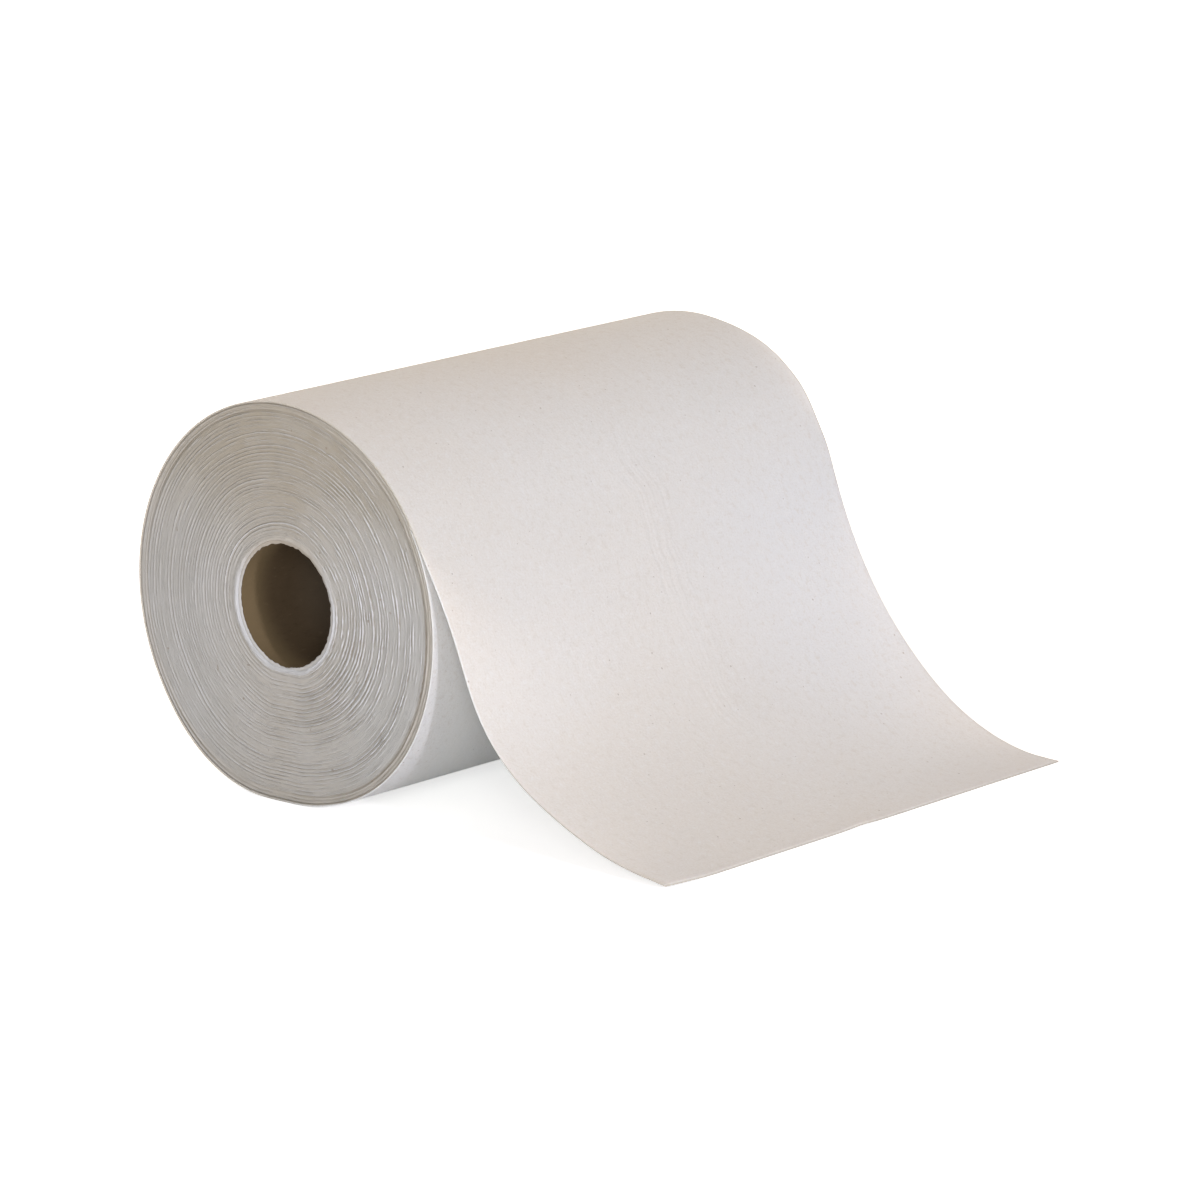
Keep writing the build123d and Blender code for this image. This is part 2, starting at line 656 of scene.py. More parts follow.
@dataclass(frozen=True)
class TurnEdgeFinish:
    """Slit ends of the turns: thin pale crests with painted highlights, painted brown shadows between
    them, cut fibres.

    Each band is a share of the way from one visible turn to the next.
    """

    body: Colour = (0.487, 0.457, 0.420, 1)
    # Painted cool light on the slit face's +X side and painted shade on its -X side.
    front_cool_light: Colour = (0.483, 0.483, 0.479, 1)
    back_side_shade: Colour = (0.440, 0.435, 0.427, 1)
    # Pale crest colour, a painted highlight along the crests.
    crest_highlight: Colour = (0.69, 0.695, 0.72, 1)
    # Painted shadow colour for the grooves and open gaps between turns.
    groove: Colour = (0.28, 0.24, 0.19, 1)
    # Painted warm shade towards the top of the slit face.
    painted_top_shade: Colour = (0.366, 0.307, 0.222, 1)
    wound_face: Colour = (0.80, 0.76, 0.72, 1)
    # Painted shade in a band just inside the rim, strongest on the +X side.
    rim: Colour = (0.52, 0.475, 0.415, 1)
    collar: Colour = (0.635, 0.635, 0.655, 1)
    # The collar's colour towards its top, with painted shade.
    collar_top_shade: Colour = (0.51, 0.46, 0.39, 1)
    fleck: Colour = (0.27, 0.21, 0.16, 1)
    roughness: float = 0.95
    gloss: float = 0.15
    ripple_scale: float = 300.0
    fuzz_scale: float = 1500.0
    patch_scale: float = 45.0
    fleck_scale: float = 520.0
    crest_band: Band = (0.27, 0.38, 0.50, 0.60)
    shadow_band: Band = (0.56, 0.68, 0.86, 1.0)
    fine_turns: float = 2.83
    fine_crest_band: Band = (0.2, 0.42, 0.55, 0.8)

    def build(self, turns: "WoundTurns") -> bpy.types.Material:
        """Makes the material.

        Args:
            turns: The wound turns, for where their collar and their rim are.

        Returns:
            A material that reads which visible turn a place is on, how far out it was wound
            and how boldly it shows.
        """
        material = bpy.data.materials.new("turn_edges")
        nodes = MaterialTree(material)
        turn = nodes.attribute("turn")
        bold = nodes.attribute("bold")
        place = nodes.make("ShaderNodeTexCoord").outputs["Object"]
        ripple = nodes.cloud(place, self.ripple_scale, 2.0, 0.6)
        fuzz = nodes.cloud(place, self.fuzz_scale, 2.0, 0.6)
        patches = nodes.cloud(place, self.patch_scale, 3.0, 0.55)
        ring = nodes.attribute("ring") + (ripple - 0.5) * 0.34
        across = ring.math("FRACT")
        # Painted highlight on each crest and painted shadow in the groove outside it, strongest where a
        # turn shows boldly.
        crests = across.band(*self.crest_band) * bold
        shadows = across.band(*self.shadow_band) * bold
        fine = (ring * self.fine_turns + ripple * 0.8).math("FRACT")
        fine_bold = nodes.cloud(nodes.joined(turn * 2100.0, ripple * 2.0, patches * 9.0), 1.0, 1.0)
        # Fine lines of painted highlight between the visible turns.
        fine_crests = fine.band(*self.fine_crest_band) * fine_bold.ramp(0.42, 0.66)
        split = nodes.make("ShaderNodeSeparateXYZ", Vector=place)
        up = nodes.value(split, "Z") - turns.section.axis_height
        front = nodes.value(split, "X")
        # Painted warm shade: darker towards the top of the slit face, and a little towards its bottom.
        top_and_bottom_shade = up.ramp(0.0, 0.055) * 0.62 + up.ramp(-0.045, -0.065) * 0.15
        collar = (turn + (ripple - 0.5) * 1.1 * MM).ramp(turns.collar_end, turns.collar_end - 0.35 * MM)
        # The pale collar, with painted shade towards its top.
        pale = nodes.blend(up.ramp(0.0, turns.seat) * 0.75, self.collar, self.collar_top_shade)
        flecks = nodes.cloud(place, self.fleck_scale, 0.0).ramp(0.835, 0.85)
        outside = turn.ramp(turns.outer_radius - 0.08 * MM, turns.outer_radius - 0.02 * MM)
        colour = nodes.layered(
            self.body,
            # Painted cool light on the +X side of the slit face and painted shade on its -X side.
            (front.ramp(0.0, 0.05), 0.7, self.front_cool_light),
            (front.ramp(0.0, -0.045), 0.8, self.back_side_shade),
            (top_and_bottom_shade, 1.0, self.painted_top_shade),
            # Random pale patches, fine painted highlights, painted shadow in fine and bold grooves, and
            # painted highlight on the crests.
            (patches.ramp(0.40, 0.64), 0.13, self.crest_highlight),
            (fine_crests, 0.42, self.crest_highlight),
            (fine.ramp(0.78, 0.95), 0.25, self.groove),
            (shadows, 0.85, self.groove),
            (crests, 0.95, self.crest_highlight),
            # Painted shade in the band just inside the rim.
            (nodes.attribute("rim"), 0.7, self.rim),
            # Painted shade in the open gaps between the slack outer turns.
            (nodes.attribute("slack"), 0.9, self.groove),
            (collar, 0.9, pale),
            (flecks, 0.55, self.fleck),
            (outside, 1.0, self.wound_face),
        )
        height = crests * 0.6 - shadows * 0.5 + fine_crests * 0.55 + fuzz * 0.25
        nodes.matt_surface(colour, self.roughness, self.gloss, Relief(height, 0.8, 0.3 * MM))
        return material


@dataclass(frozen=True)
class CoreBoardFinish:
    """Grey-brown recycled board, wound in a spiral, with a torn pale end."""

    board: Colour = (0.098, 0.066, 0.037, 1)
    fibre_shade: Colour = (0.068, 0.043, 0.022, 1)
    fibre_light: Colour = (0.165, 0.118, 0.07, 1)
    seam: Colour = (0.09, 0.06, 0.032, 1)
    # Painted light in the bore: near both mouths of the tube and deeper inside it.
    mouth_light: Colour = (0.215, 0.155, 0.083, 1)
    middle: Colour = (0.165, 0.125, 0.090, 1)
    cut_end: Colour = (0.60, 0.585, 0.575, 1)
    # The torn end's colour towards its top, with painted shade.
    cut_end_top_shade: Colour = (0.46, 0.405, 0.34, 1)
    roughness: float = 0.88
    gloss: float = 0.2
    fibre_scale: float = 700.0
    fibre_stretch: tuple[float, float, float] = (1.0, 0.35, 1.0)
    blotch_scale: float = 60.0
    mouth_light_depth: tuple[float, float] = (0.016, 0.004)
    deep_light_depth: tuple[float, float] = (0.018, 0.045)

    def build(self, tube: "CoreTube") -> bpy.types.Material:
        """Makes the material.

        Args:
            tube: The tube, for how long it is.

        Returns:
            A material that reads how near the spiral seam and the cut end are. Light is painted into the
            board near both mouths of the tube and deeper inside it.
        """
        material = bpy.data.materials.new("core_board")
        nodes = MaterialTree(material)
        place = nodes.make("ShaderNodeTexCoord").outputs["Object"]
        stretched = nodes.make("ShaderNodeMapping", Vector=place)
        stretched.inputs["Scale"].default_value = self.fibre_stretch
        fibres = nodes.cloud(stretched.outputs["Vector"], self.fibre_scale, 4.0, 0.65)
        blotch = nodes.cloud(place, self.blotch_scale, 3.0)
        split = nodes.make("ShaderNodeSeparateXYZ", Vector=place)
        depth = tube.half_length - nodes.value(split, "Y").math("ABSOLUTE")
        up = nodes.value(split, "Z") - tube.axis_height
        # The pale torn end, with painted shade towards its top.
        lip = nodes.blend(up.ramp(0.0, tube.bore_radius) * 0.8, self.cut_end, self.cut_end_top_shade)
        colour = nodes.layered(
            self.board,
            (fibres.ramp(0.45, 0.25), 0.7, self.fibre_shade),
            (fibres.ramp(0.56, 0.78), 0.6, self.fibre_light),
            (blotch.ramp(0.45, 0.7), 0.35, self.fibre_shade),
            # Painted light near both mouths of the tube and deeper inside it.
            (depth.ramp(*self.mouth_light_depth), 0.80, self.mouth_light),
            (depth.ramp(*self.deep_light_depth), 0.75, self.middle),
            (nodes.attribute("seam"), 0.8, self.seam),
            (nodes.attribute("cut_end"), 0.92, lip),
        )
        nodes.matt_surface(colour, self.roughness, self.gloss, Relief(fibres, 0.4, 0.2 * MM))
        return material


def into_scene(name: str, data: bpy.types.ID) -> bpy.types.Object:
    """Makes an object and links it into the scene.

    Args:
        name: Its name.
        data: Its mesh, light or camera.

    Returns:
        The object, at the origin of the frame.
    """
    made = bpy.data.objects.new(name, data)
    bpy.context.scene.collection.objects.link(made)
    return made


def as_piece(mesh: bmesh.types.BMesh, name: str, material: bpy.types.Material) -> bpy.types.Object:
    """Turns a finished bmesh into an object.

    Args:
        mesh: The bmesh, which is freed.
        name: The piece's name.
        material: Its finish.

    Returns:
        The object, smooth shaded, at the origin of the frame.
    """
    bmesh.ops.recalc_face_normals(mesh, faces=mesh.faces)
    for face in mesh.faces:
        face.smooth = True
    data = bpy.data.meshes.new(name)
    mesh.to_mesh(data)
    mesh.free()
    data.materials.append(material)
    return into_scene(name, data)


def spin_profile(
    mesh: bmesh.types.BMesh,
    corners: Sequence[tuple[float, float]],
    cuts: Sequence[int],
    axis_height: float,
    rounds: int,
) -> None:
    """Spins a closed profile round the roll's axis.

    Args:
        mesh: The empty bmesh that it is made in.
        corners: Place along the axis and radius of each corner, in order.
        cuts: How often the edge from each corner to the next is cut.
        axis_height: Height of the axis.
        rounds: Steps of the full turn.
    """
    verts = [mesh.verts.new((0, along, axis_height + radius)) for along, radius in corners]
    edges = [mesh.edges.new(pair) for pair in zip(verts, verts[1:] + verts[:1])]
    for edge, count in zip(edges, cuts):
        bmesh.ops.subdivide_edges(mesh, edges=[edge], cuts=count)
    bmesh.ops.spin(
        mesh,
        geom=list(mesh.verts) + list(mesh.edges),
        cent=(0, 0, axis_height),
        axis=(0, 1, 0),
        angle=2 * math.pi,
        steps=rounds,
        use_merge=True,
    )


@dataclass
class WoundTurns:
    """The tightly wound turns, one closed body with an uneven slit face on each end.

    Lengths are in millimetres, but for half_width and seat, which are in metres. Each visible
    turn is a ridge with a groove outside it: shares of the way to the next turn, with the height
    at each. It shows boldly over some of its round and fades over the rest. A bold turn is its
    number, the angle at which it shows most and how far round it does. A slack gap is its
    radius, half width, angle and how far round it opens.
    """

    section: RollSection
    half_width: float
    under_sheet: Callable[[float], float]
    seat: float
    rounds: int = 208
    visible_turns: int = 35
    side_steps: int = 8
    face_depth: float = 0.42
    ridge: tuple[tuple[float, float], ...] = (
        (0.0, 0.0),
        (0.28, 0.1),
        (0.38, 1.0),
        (0.50, 0.9),
        (0.62, -0.35),
    )
    ridge_height: float = 0.40
    wander: float = 0.75
    spacing_wander: float = 0.30
    boldest_angle: float = 105.0
    bold_spread: float = 75.0
    quiet_side: float = 0.34
    usual_boldness: float = 0.45
    own_wander: float = 1.15
    broken_wander: float = 1.1
    bold_turns: tuple[tuple[int, float, float], ...] = (
        (4, -30.0, 75.0),
        (9, 110.0, 50.0),
        (14, 75.0, 40.0),
    )
    slack_gaps: tuple[tuple[float, float, float, float], ...] = (
        (62.7, 0.24, 85.0, 60.0),
        (63.4, 0.22, 140.0, 40.0),
        (64.5, 0.22, 150.0, 45.0),
        (65.5, 0.18, 165.0, 60.0),
        (63.6, 0.20, -35.0, 45.0),
        (64.7, 0.28, -138.0, 16.0),
        (65.7, 0.20, 8.0, 42.0),
    )
    gap_depth: float = 0.55
    collar_width: float = 1.5
    collar_height: float = 0.30
    rim_width: float = 3.0
    rim_slope: float = 2.2
    rim_height: float = 0.18
    rim_angle: float = 85.0
    rim_spread: float = 75.0
    rim_least: float = 0.30
    tight_inset: float = 1.0
    flat_inset: float = 0.57
    fitted_width: float = 5.0

    @property
    def outer_radius(self) -> float:
        """Radius that the last tight turn is wound to, in metres."""
        return self.section.radius - self.tight_inset * MM

    @property
    def collar_end(self) -> float:
        """Radius at which the pale innermost turns end, in metres."""
        return self.seat + self.collar_width * MM

    @property
    def turn_steps(self) -> int:
        """Rows of faces between the core's seat and the last tight turn."""
        return self.visible_turns * len(self.ridge)

    def build(self, material: bpy.types.Material) -> bpy.types.Object:
        """Makes the body.

        Args:
            material: The finish of the turns' edges.

        Returns:
            The piece.
        """
        mesh = bmesh.new()
        outer = self.outer_radius
        profile = ((-1, self.seat), (-1, outer), (1, outer), (1, self.seat))
        corners = [(side * self.half_width, radius) for side, radius in profile]
        cuts = (self.turn_steps - 1, self.side_steps) * 2
        spin_profile(mesh, corners, cuts, self.section.axis_height, self.rounds)
        names = ("turn", "ring", "bold", "slack", "rim")
        layers = {name: mesh.verts.layers.float.new(name) for name in names}
        for vert in mesh.verts:
            from_axis = Vector((vert.co.x, 0, vert.co.z - self.section.axis_height))
            angle = math.degrees(math.atan2(from_axis.x, from_axis.z))
            row = round((from_axis.length - self.seat) / (outer - self.seat) * self.turn_steps)
            end = RollEnd.NEAR if vert.co.y < 0 else RollEnd.FAR
            at_end = abs(vert.co.y) > self.half_width - 1e-6
            ring = row // len(self.ridge) + self.ridge[row % len(self.ridge)][0]
            turn = self.turn_radius(end, angle, ring)
            bold = self.boldness(end, angle, ring) if at_end else 0.0
            slack = self.slack(angle, turn / MM) if at_end else 0.0
            along = abs(vert.co.y)
            if at_end:
                rise = self.ridge[row % len(self.ridge)][1] * bold * self.ridge_height
                along += (self.face_height(end, angle, turn / MM) + rise - self.gap_depth * slack) * MM
            fitted = self.under_sheet(angle) + turn - outer
            here = turn + (fitted - turn) * smooth(outer - self.fitted_width * MM, outer, turn)
            floor = self.section.radius - self.flat_inset * MM - turn
            vert.co = self.section.place(angle, here, math.copysign(along, vert.co.y), floor)
            worth = (turn, ring, bold, slack, self.rim_at(angle, turn))
            for layer, value in zip(layers.values(), worth):
                vert[layer] = value
        return as_piece(mesh, "wound_turns", material)

    def rim_at(self, angle: float, turn: float) -> float:
        """How strongly the band just inside the rim is painted with shade.

        Args:
            angle: Degrees from the top.
            turn: Radius of the turn, in metres.

        Returns:
            0 inside the rim and up to 1 on it.
        """
        start = self.outer_radius - self.rim_width * MM
        around = bump(self.rim_angle, self.rim_spread, angle)
        return smooth(start, start + 0.5 * MM, turn) * (self.rim_least + (1 - self.rim_least) * around)

    def turn_radius(self, end: RollEnd, angle: float, ring: float) -> float:
        """Where a visible turn runs.

        Args:
            end: Which end.
            angle: Degrees from the top.
            ring: The turn's number from the core, with its fraction.

        Returns:
            Its radius in metres. It wanders a little, but not at the core or the rim.
        """
        share = ring / self.visible_turns
        pitch = (self.outer_radius - self.seat) / self.visible_turns
        around = math.radians(angle)
        uneven = noise.noise(Vector((ring * 0.55, 3.0 * end.value, 0.5)))
        place = Vector((math.cos(around) * 1.5, math.sin(around) * 1.5, ring * 0.16 + 9.0 * end.value))
        shift = self.spacing_wander * uneven + self.wander * noise.noise(place)
        return self.seat + (share * self.visible_turns + shift * math.sin(math.pi * share) ** 0.5) * pitch

    def boldness(self, end: RollEnd, angle: float, ring: float) -> float:
        """How clearly a visible turn shows.

        Args:
            end: Which end.
            angle: Degrees from the top.
            ring: The turn's number from the core, with its fraction.

        Returns:
            0 where it lies flush, up to about 1 where it stands out.
        """
        around = math.radians(angle)
        up = math.cos(around)
        front = math.sin(around)
        number = math.floor(ring)
        own = noise.noise(Vector((number * 0.77 + 31, up * 0.8, front * 0.8 + 5 * end.value)))
        broken = noise.noise(Vector((number * 2.3, up * 9, front * 9 + 2 * end.value)))
        near_boldest = bump(0, self.bold_spread, swing(angle, self.boldest_angle))
        shown = self.usual_boldness + self.own_wander * own + self.broken_wander * broken
        shown = max(0.0, min(1.0, shown)) * (self.quiet_side + (1 - self.quiet_side) * near_boldest)
        for bold_turn, centre, spread in self.bold_turns:
            if number == bold_turn:
                shown = max(shown, 0.9 * bump(0, spread, swing(angle, centre)))
        return shown

    def slack(self, angle: float, turn: float) -> float:
        """How open the gaps between the slack outer turns are.

        Args:
            angle: Degrees from the top.
            turn: Radius of the turn in millimetres.

        Returns:
            0 where the turns touch and 1 in the middle of an open gap.
        """
        total = 0.0
        for radius, half_width, centre, spread in self.slack_gaps:
            total += bump(radius, half_width, turn) * bump(0, spread, swing(angle, centre))
        return min(total, 1.0)

    def face_height(self, end: RollEnd, angle: float, turn: float) -> float:
        """How far the slit face stands out there, without its ridges.

        Args:
            end: Which end.
            angle: Degrees from the top.
            turn: Radius of the turn in millimetres.

        Returns:
            The height over the web's own edge, in millimetres.
        """
        around = math.radians(angle)
        ahead = Vector((math.cos(around), math.sin(around), 0))
        waves = 0.30 * noise.noise(ahead * 1.1 + Vector((0, 9 * end.value, turn * 0.09)))
        waves += 0.10 * noise.noise(ahead * 4.0 + Vector((0, 9 * end.value, turn * 0.7)))
        ragged = 0.16 * noise.noise(ahead * 9.0 + Vector((0, 4 * end.value, turn * 0.8)))
        collar = self.collar_end / MM
        at_collar = smooth(collar + 0.5, collar - 0.1, turn)
        at_rim = smooth(self.outer_radius / MM - self.rim_slope, self.outer_radius / MM, turn)
        height = waves * (1 - at_rim) - self.face_depth
        return height + (self.collar_height + ragged) * at_collar + self.rim_height * at_rim


@dataclass
class LooseSheet:
    """The last turn of the web and the leaf that falls from it to the floor, one sheet.

    Lengths are in millimetres, but for half_width, which is in metres. The leaf's two edges fall
    by their own curves, and straight lines join them, as a twisted sheet of paper lies. Places
    across it are shares from the near edge, and places down the leaf are shares from the
    lift-off.
    """

    section: RollSection
    half_width: float
    near_fall: EdgeFall
    far_fall: EdgeFall
    thickness: float = 0.4
    turn_gap: float = 0.25
    lift_off: float = 60.0
    wrap_steps: int = 250
    fall_steps: int = 110
    across_steps: int = 96
    curl_width: float = 0.9
    curl_depth: float = 0.30
    ripple: float = 0.35
    far_bulge: float = 1.6
    far_bulge_angles: Band = (8, 36, 44, 60)
    corner_lift: float = 1.3
    corner_width: float = 0.16
    corner_start: float = 0.80
    lip_height: float = 0.4
    lip_place: float = 0.485
    lip_width: float = 0.030
    lip_start: float = 0.955
    start_ramp: float = 2.5
    clearance: float = 0.03

    def outer_turn(self, angle: float) -> float:
        """Radius of the sheet's outer face on the roll.

        Args:
            angle: Degrees from the top, below the lift-off by up to a whole turn.

        Returns:
            The radius that it is wound to, in metres.
        """
        pitch = self.thickness + self.turn_gap
        return self.section.radius - pitch * MM * (self.lift_off - angle) / 360

    def under_turn(self, angle: float) -> float:
        """Radius of the tight turns below the sheet.

        Args:
            angle: Degrees from the top, any turn.

        Returns:
            The radius in metres, with a short ramp where the sheet starts.
        """
        back = (self.lift_off - angle) % 360
        ramp = smooth(self.start_ramp, 0.0, back)
        pitch = self.thickness + self.turn_gap
        drop = pitch * (back / 360 + ramp)
        return self.section.radius - (self.thickness + self.clearance + drop) * MM

    def build(self, material: bpy.types.Material) -> bpy.types.Object:
        """Makes the sheet.

        Args:
            material: The finish of the paper.

        Returns:
            The piece, with its thickness.
        """
        start = self.section.place(self.lift_off, self.section.radius, 0)
        near = self.near_fall.path(start, self.thickness * MM)
        far = self.far_fall.path(start, self.thickness * MM)
        columns = self.wrap_steps + self.fall_steps
        mesh = bmesh.new()
        bmesh.ops.create_grid(mesh, x_segments=columns, y_segments=self.across_steps, size=1.0)
        run_layer = mesh.verts.layers.float.new("run")
        across_layer = mesh.verts.layers.float.new("across")
        edge_layer = mesh.verts.layers.float.new("cut_edge")
        wrap_length = 2 * math.pi * self.section.radius
        fall_length = (len(near) - 1) * self.near_fall.step * MM
        for vert in mesh.verts:
            column = (vert.co.x + 1) / 2 * columns
            share = (vert.co.y + 1) / 2
            across, to_edge = self.across_place(share)
            if column <= self.wrap_steps:
                angle = self.lift_off - 360 * (1 - column / self.wrap_steps)
                run = wrap_length * column / self.wrap_steps
                slack = self.far_bulge * band(*self.far_bulge_angles, angle) * share**1.5
                vert.co = self.section.place(angle, self.outer_turn(angle) + slack * MM, across)
                outwards = Vector((math.sin(math.radians(angle)), 0, math.cos(math.radians(angle))))
                free = 0.0
            else:
                fall = (column - self.wrap_steps) / self.fall_steps
                run = wrap_length + fall_length * fall
                point, outwards = self.leaf_point(near, far, fall, share)
                vert.co = Vector((point.x, across, point.z))
                free = fall
            vert.co += outwards * self.surface_wave(run, across, free, share) * MM
            curl = max(0.0, 1 - to_edge / (self.curl_width * MM)) * band(0.0, 0.1, 0.9, 1.0, free)
            vert.co -= outwards * self.curl_depth * MM * curl * curl
            if free > 0:
                corner = smooth(self.corner_width, 0.0, share) * smooth(self.corner_start, 1.0, free)
                vert.co.z = max(vert.co.z + self.corner_lift * corner * MM, self.thickness * MM)
            vert[run_layer] = run
            vert[across_layer] = across
            vert[edge_layer] = min(to_edge, wrap_length + fall_length - run)
        piece = as_piece(mesh, "loose_sheet", material)
        self.face_outwards(piece)
        wall = piece.modifiers.new("paper_thickness", "SOLIDIFY")
        wall.thickness = self.thickness * MM
        wall.offset = -1.0
        return piece

    def across_place(self, share: float) -> tuple[float, float]:
        """Place across the sheet, with rows set closer near both edges.

        Args:
            share: 0 at the near edge and 1 at the far edge, in even steps.

        Returns:
            The place along the roll's axis and the distance to the nearer edge, in metres.
        """
        row = share * self.across_steps
        from_edge = min(row, self.across_steps - row)
        fine = 4
        fine_step = self.curl_width / fine
        if from_edge <= fine:
            to_edge = from_edge * fine_step
        else:
            middle = self.across_steps / 2 - fine
            left = self.half_width / MM - self.curl_width
            to_edge = self.curl_width + left * (from_edge - fine) / middle
        place = self.half_width - to_edge * MM
        return (-place if share < 0.5 else place), to_edge * MM

    def leaf_point(
        self, near: list[Vector], far: list[Vector], fall: float, share: float
    ) -> tuple[Vector, Vector]:
        """Point of the free leaf.

        Args:
            near: Points down the near edge.
            far: Points down the far edge.
            fall: 0 at the lift-off and 1 at the leaf's end.
            share: 0 at the near edge and 1 at the far edge.

        Returns:
            The point on the straight line between both edges, and the way out of the leaf.
        """
        places = (fall, min(fall + 0.01, 1.0), max(fall - 0.01, 0.0))
        point, after, before = (
            self.down_path(near, place).lerp(self.down_path(far, place), share) for place in places
        )
        ahead = after - before
        return point, Vector((-ahead.z, 0, ahead.x)).normalized()

    def down_path(self, path: list[Vector], fall: float) -> Vector:
        """Place on one edge of the leaf.

        Args:
            path: Points down the edge.
            fall: 0 at the lift-off and 1 at the leaf's end.

        Returns:
            The place between the two nearest points.
        """
        place = fall * (len(path) - 1)
        index = min(int(place), len(path) - 2)
        return path[index].lerp(path[index + 1], place - index)

    def surface_wave(self, run: float, across: float, free: float, share: float) -> float:
        """Gentle waves of the paper.

        Args:
            run: Place along the sheet, in metres.
            across: Place across it, in metres.
            free: 0 on the roll and up to 1 at the leaf's end.
            share: 0 at the near edge and 1 at the far edge.

        Returns:
            How far the surface stands out, in millimetres.
        """
        slow = noise.noise(Vector((run * 16, across * 13, 4.0)))
        loose = smooth(0.0, 0.25, free) * (1 - 0.9 * smooth(0.9, 1.0, free))
        lip = bump(self.lip_place, self.lip_width, share) * smooth(self.lip_start, 1.0, free)
        return self.ripple * slow * loose + self.lip_height * lip

    def face_outwards(self, piece: bpy.types.Object) -> None:
        """Turns the sheet's faces so that they look away from the roll.

        Args:
            piece: The sheet, before it has its thickness.
        """
        mesh = piece.data
        top = max(mesh.polygons, key=lambda face: face.center.z)
        if top.normal.z < 0:
            mesh.flip_normals()


@dataclass
class CoreTube:
    """The board tube in the middle, wound from a strip whose edges meet in a spiral seam.

    Lengths are in metres down to the outer radius, and in millimetres below it. Each fray is
    how strong it is and how many tufts it has round the tube.
    """

    axis_height: float
    half_length: float
    bore_radius: float
    outer_radius: float
    rounds: int = 180
    rows: int = 100
    seam_pitch: float = 92.0
    seam_width: float = 0.9
    seam_depth: float = 0.16
    ragged: float = 0.26
    ragged_depth: float = 0.12
    ragged_width: float = 0.6
    frays: tuple[tuple[float, float], ...] = ((0.6, 2.6), (0.9, 8.3), (1.1, 17.0))

    def build(self, material: bpy.types.Material) -> bpy.types.Object:
        """Makes the tube.

        Args:
            material: The finish of the board.

        Returns:
            The piece, a closed wall.
        """
        mesh = bmesh.new()
        bore, outer = self.bore_radius, self.outer_radius
        profile = ((-1, bore), (1, bore), (1, outer), (-1, outer))
        corners = [(side * self.half_length, radius) for side, radius in profile]
        spin_profile(mesh, corners, (self.rows, 2, 2, 2), self.axis_height, self.rounds)
        seam_layer = mesh.verts.layers.float.new("seam")
        end_layer = mesh.verts.layers.float.new("cut_end")
        for vert in mesh.verts:
            share = vert.co.y / self.half_length
            vert.co.y = self.half_length * (1.5 * share - 0.5 * share**3)
            out = Vector((vert.co.x, 0, vert.co.z - self.axis_height))
            angle = math.atan2(out.x, out.z)
            inside = out.length < self.bore_radius + 0.1 * MM
            to_end = self.half_length / MM - abs(vert.co.y / MM)
            off_seam = self.off_seam(vert.co.y / MM, angle)
            at_end = smooth(self.ragged_width, 0.0, to_end)
            fray = self.fray_at(angle, vert.co.y)
            groove = bump(0, self.seam_width, off_seam) if inside else 0.0
            burr = (self.ragged + self.ragged * 1.5 * fray) * at_end if inside else 0.0
            vert[seam_layer] = bump(0, 0.5, off_seam) if inside else 0.0
            vert[end_layer] = smooth(0.35, 0.1, to_end)
            vert.co += out.normalized() * (groove * self.seam_depth - burr) * MM
            vert.co.y -= math.copysign(self.ragged_depth * fray * MM, vert.co.y) * at_end
        return as_piece(mesh, "core_board_tube", material)

    def fray_at(self, angle: float, along: float) -> float:
        """How far the torn board stands out.

        Args:
            angle: Radians from the top.
            along: Place along the axis, in metres.

        Returns:
            About -1 to 1, uneven round the tube.
        """
        total = 0.0
        for strength, tufts in self.frays:
            place = Vector((math.cos(angle) * tufts, math.sin(angle) * tufts, along * 40))
            total += strength * noise.noise(place)
        return total

    def off_seam(self, along: float, angle: float) -> float:
        """How far a place inside the tube is from the spiral seam, along the axis, in millimetres."""
        turn = along / self.seam_pitch - angle / (2 * math.pi)
        return abs((turn + 0.5) % 1 - 0.5) * self.seam_pitch


@dataclass(frozen=True)
class Lamp:
    """One square, soft lamp: where it stands, in degrees and metres, and its light, in watts."""

    name: str
    azimuth: float
    elevation: float
    distance: float
    size: float
    power: float
    colour: tuple[float, float, float]


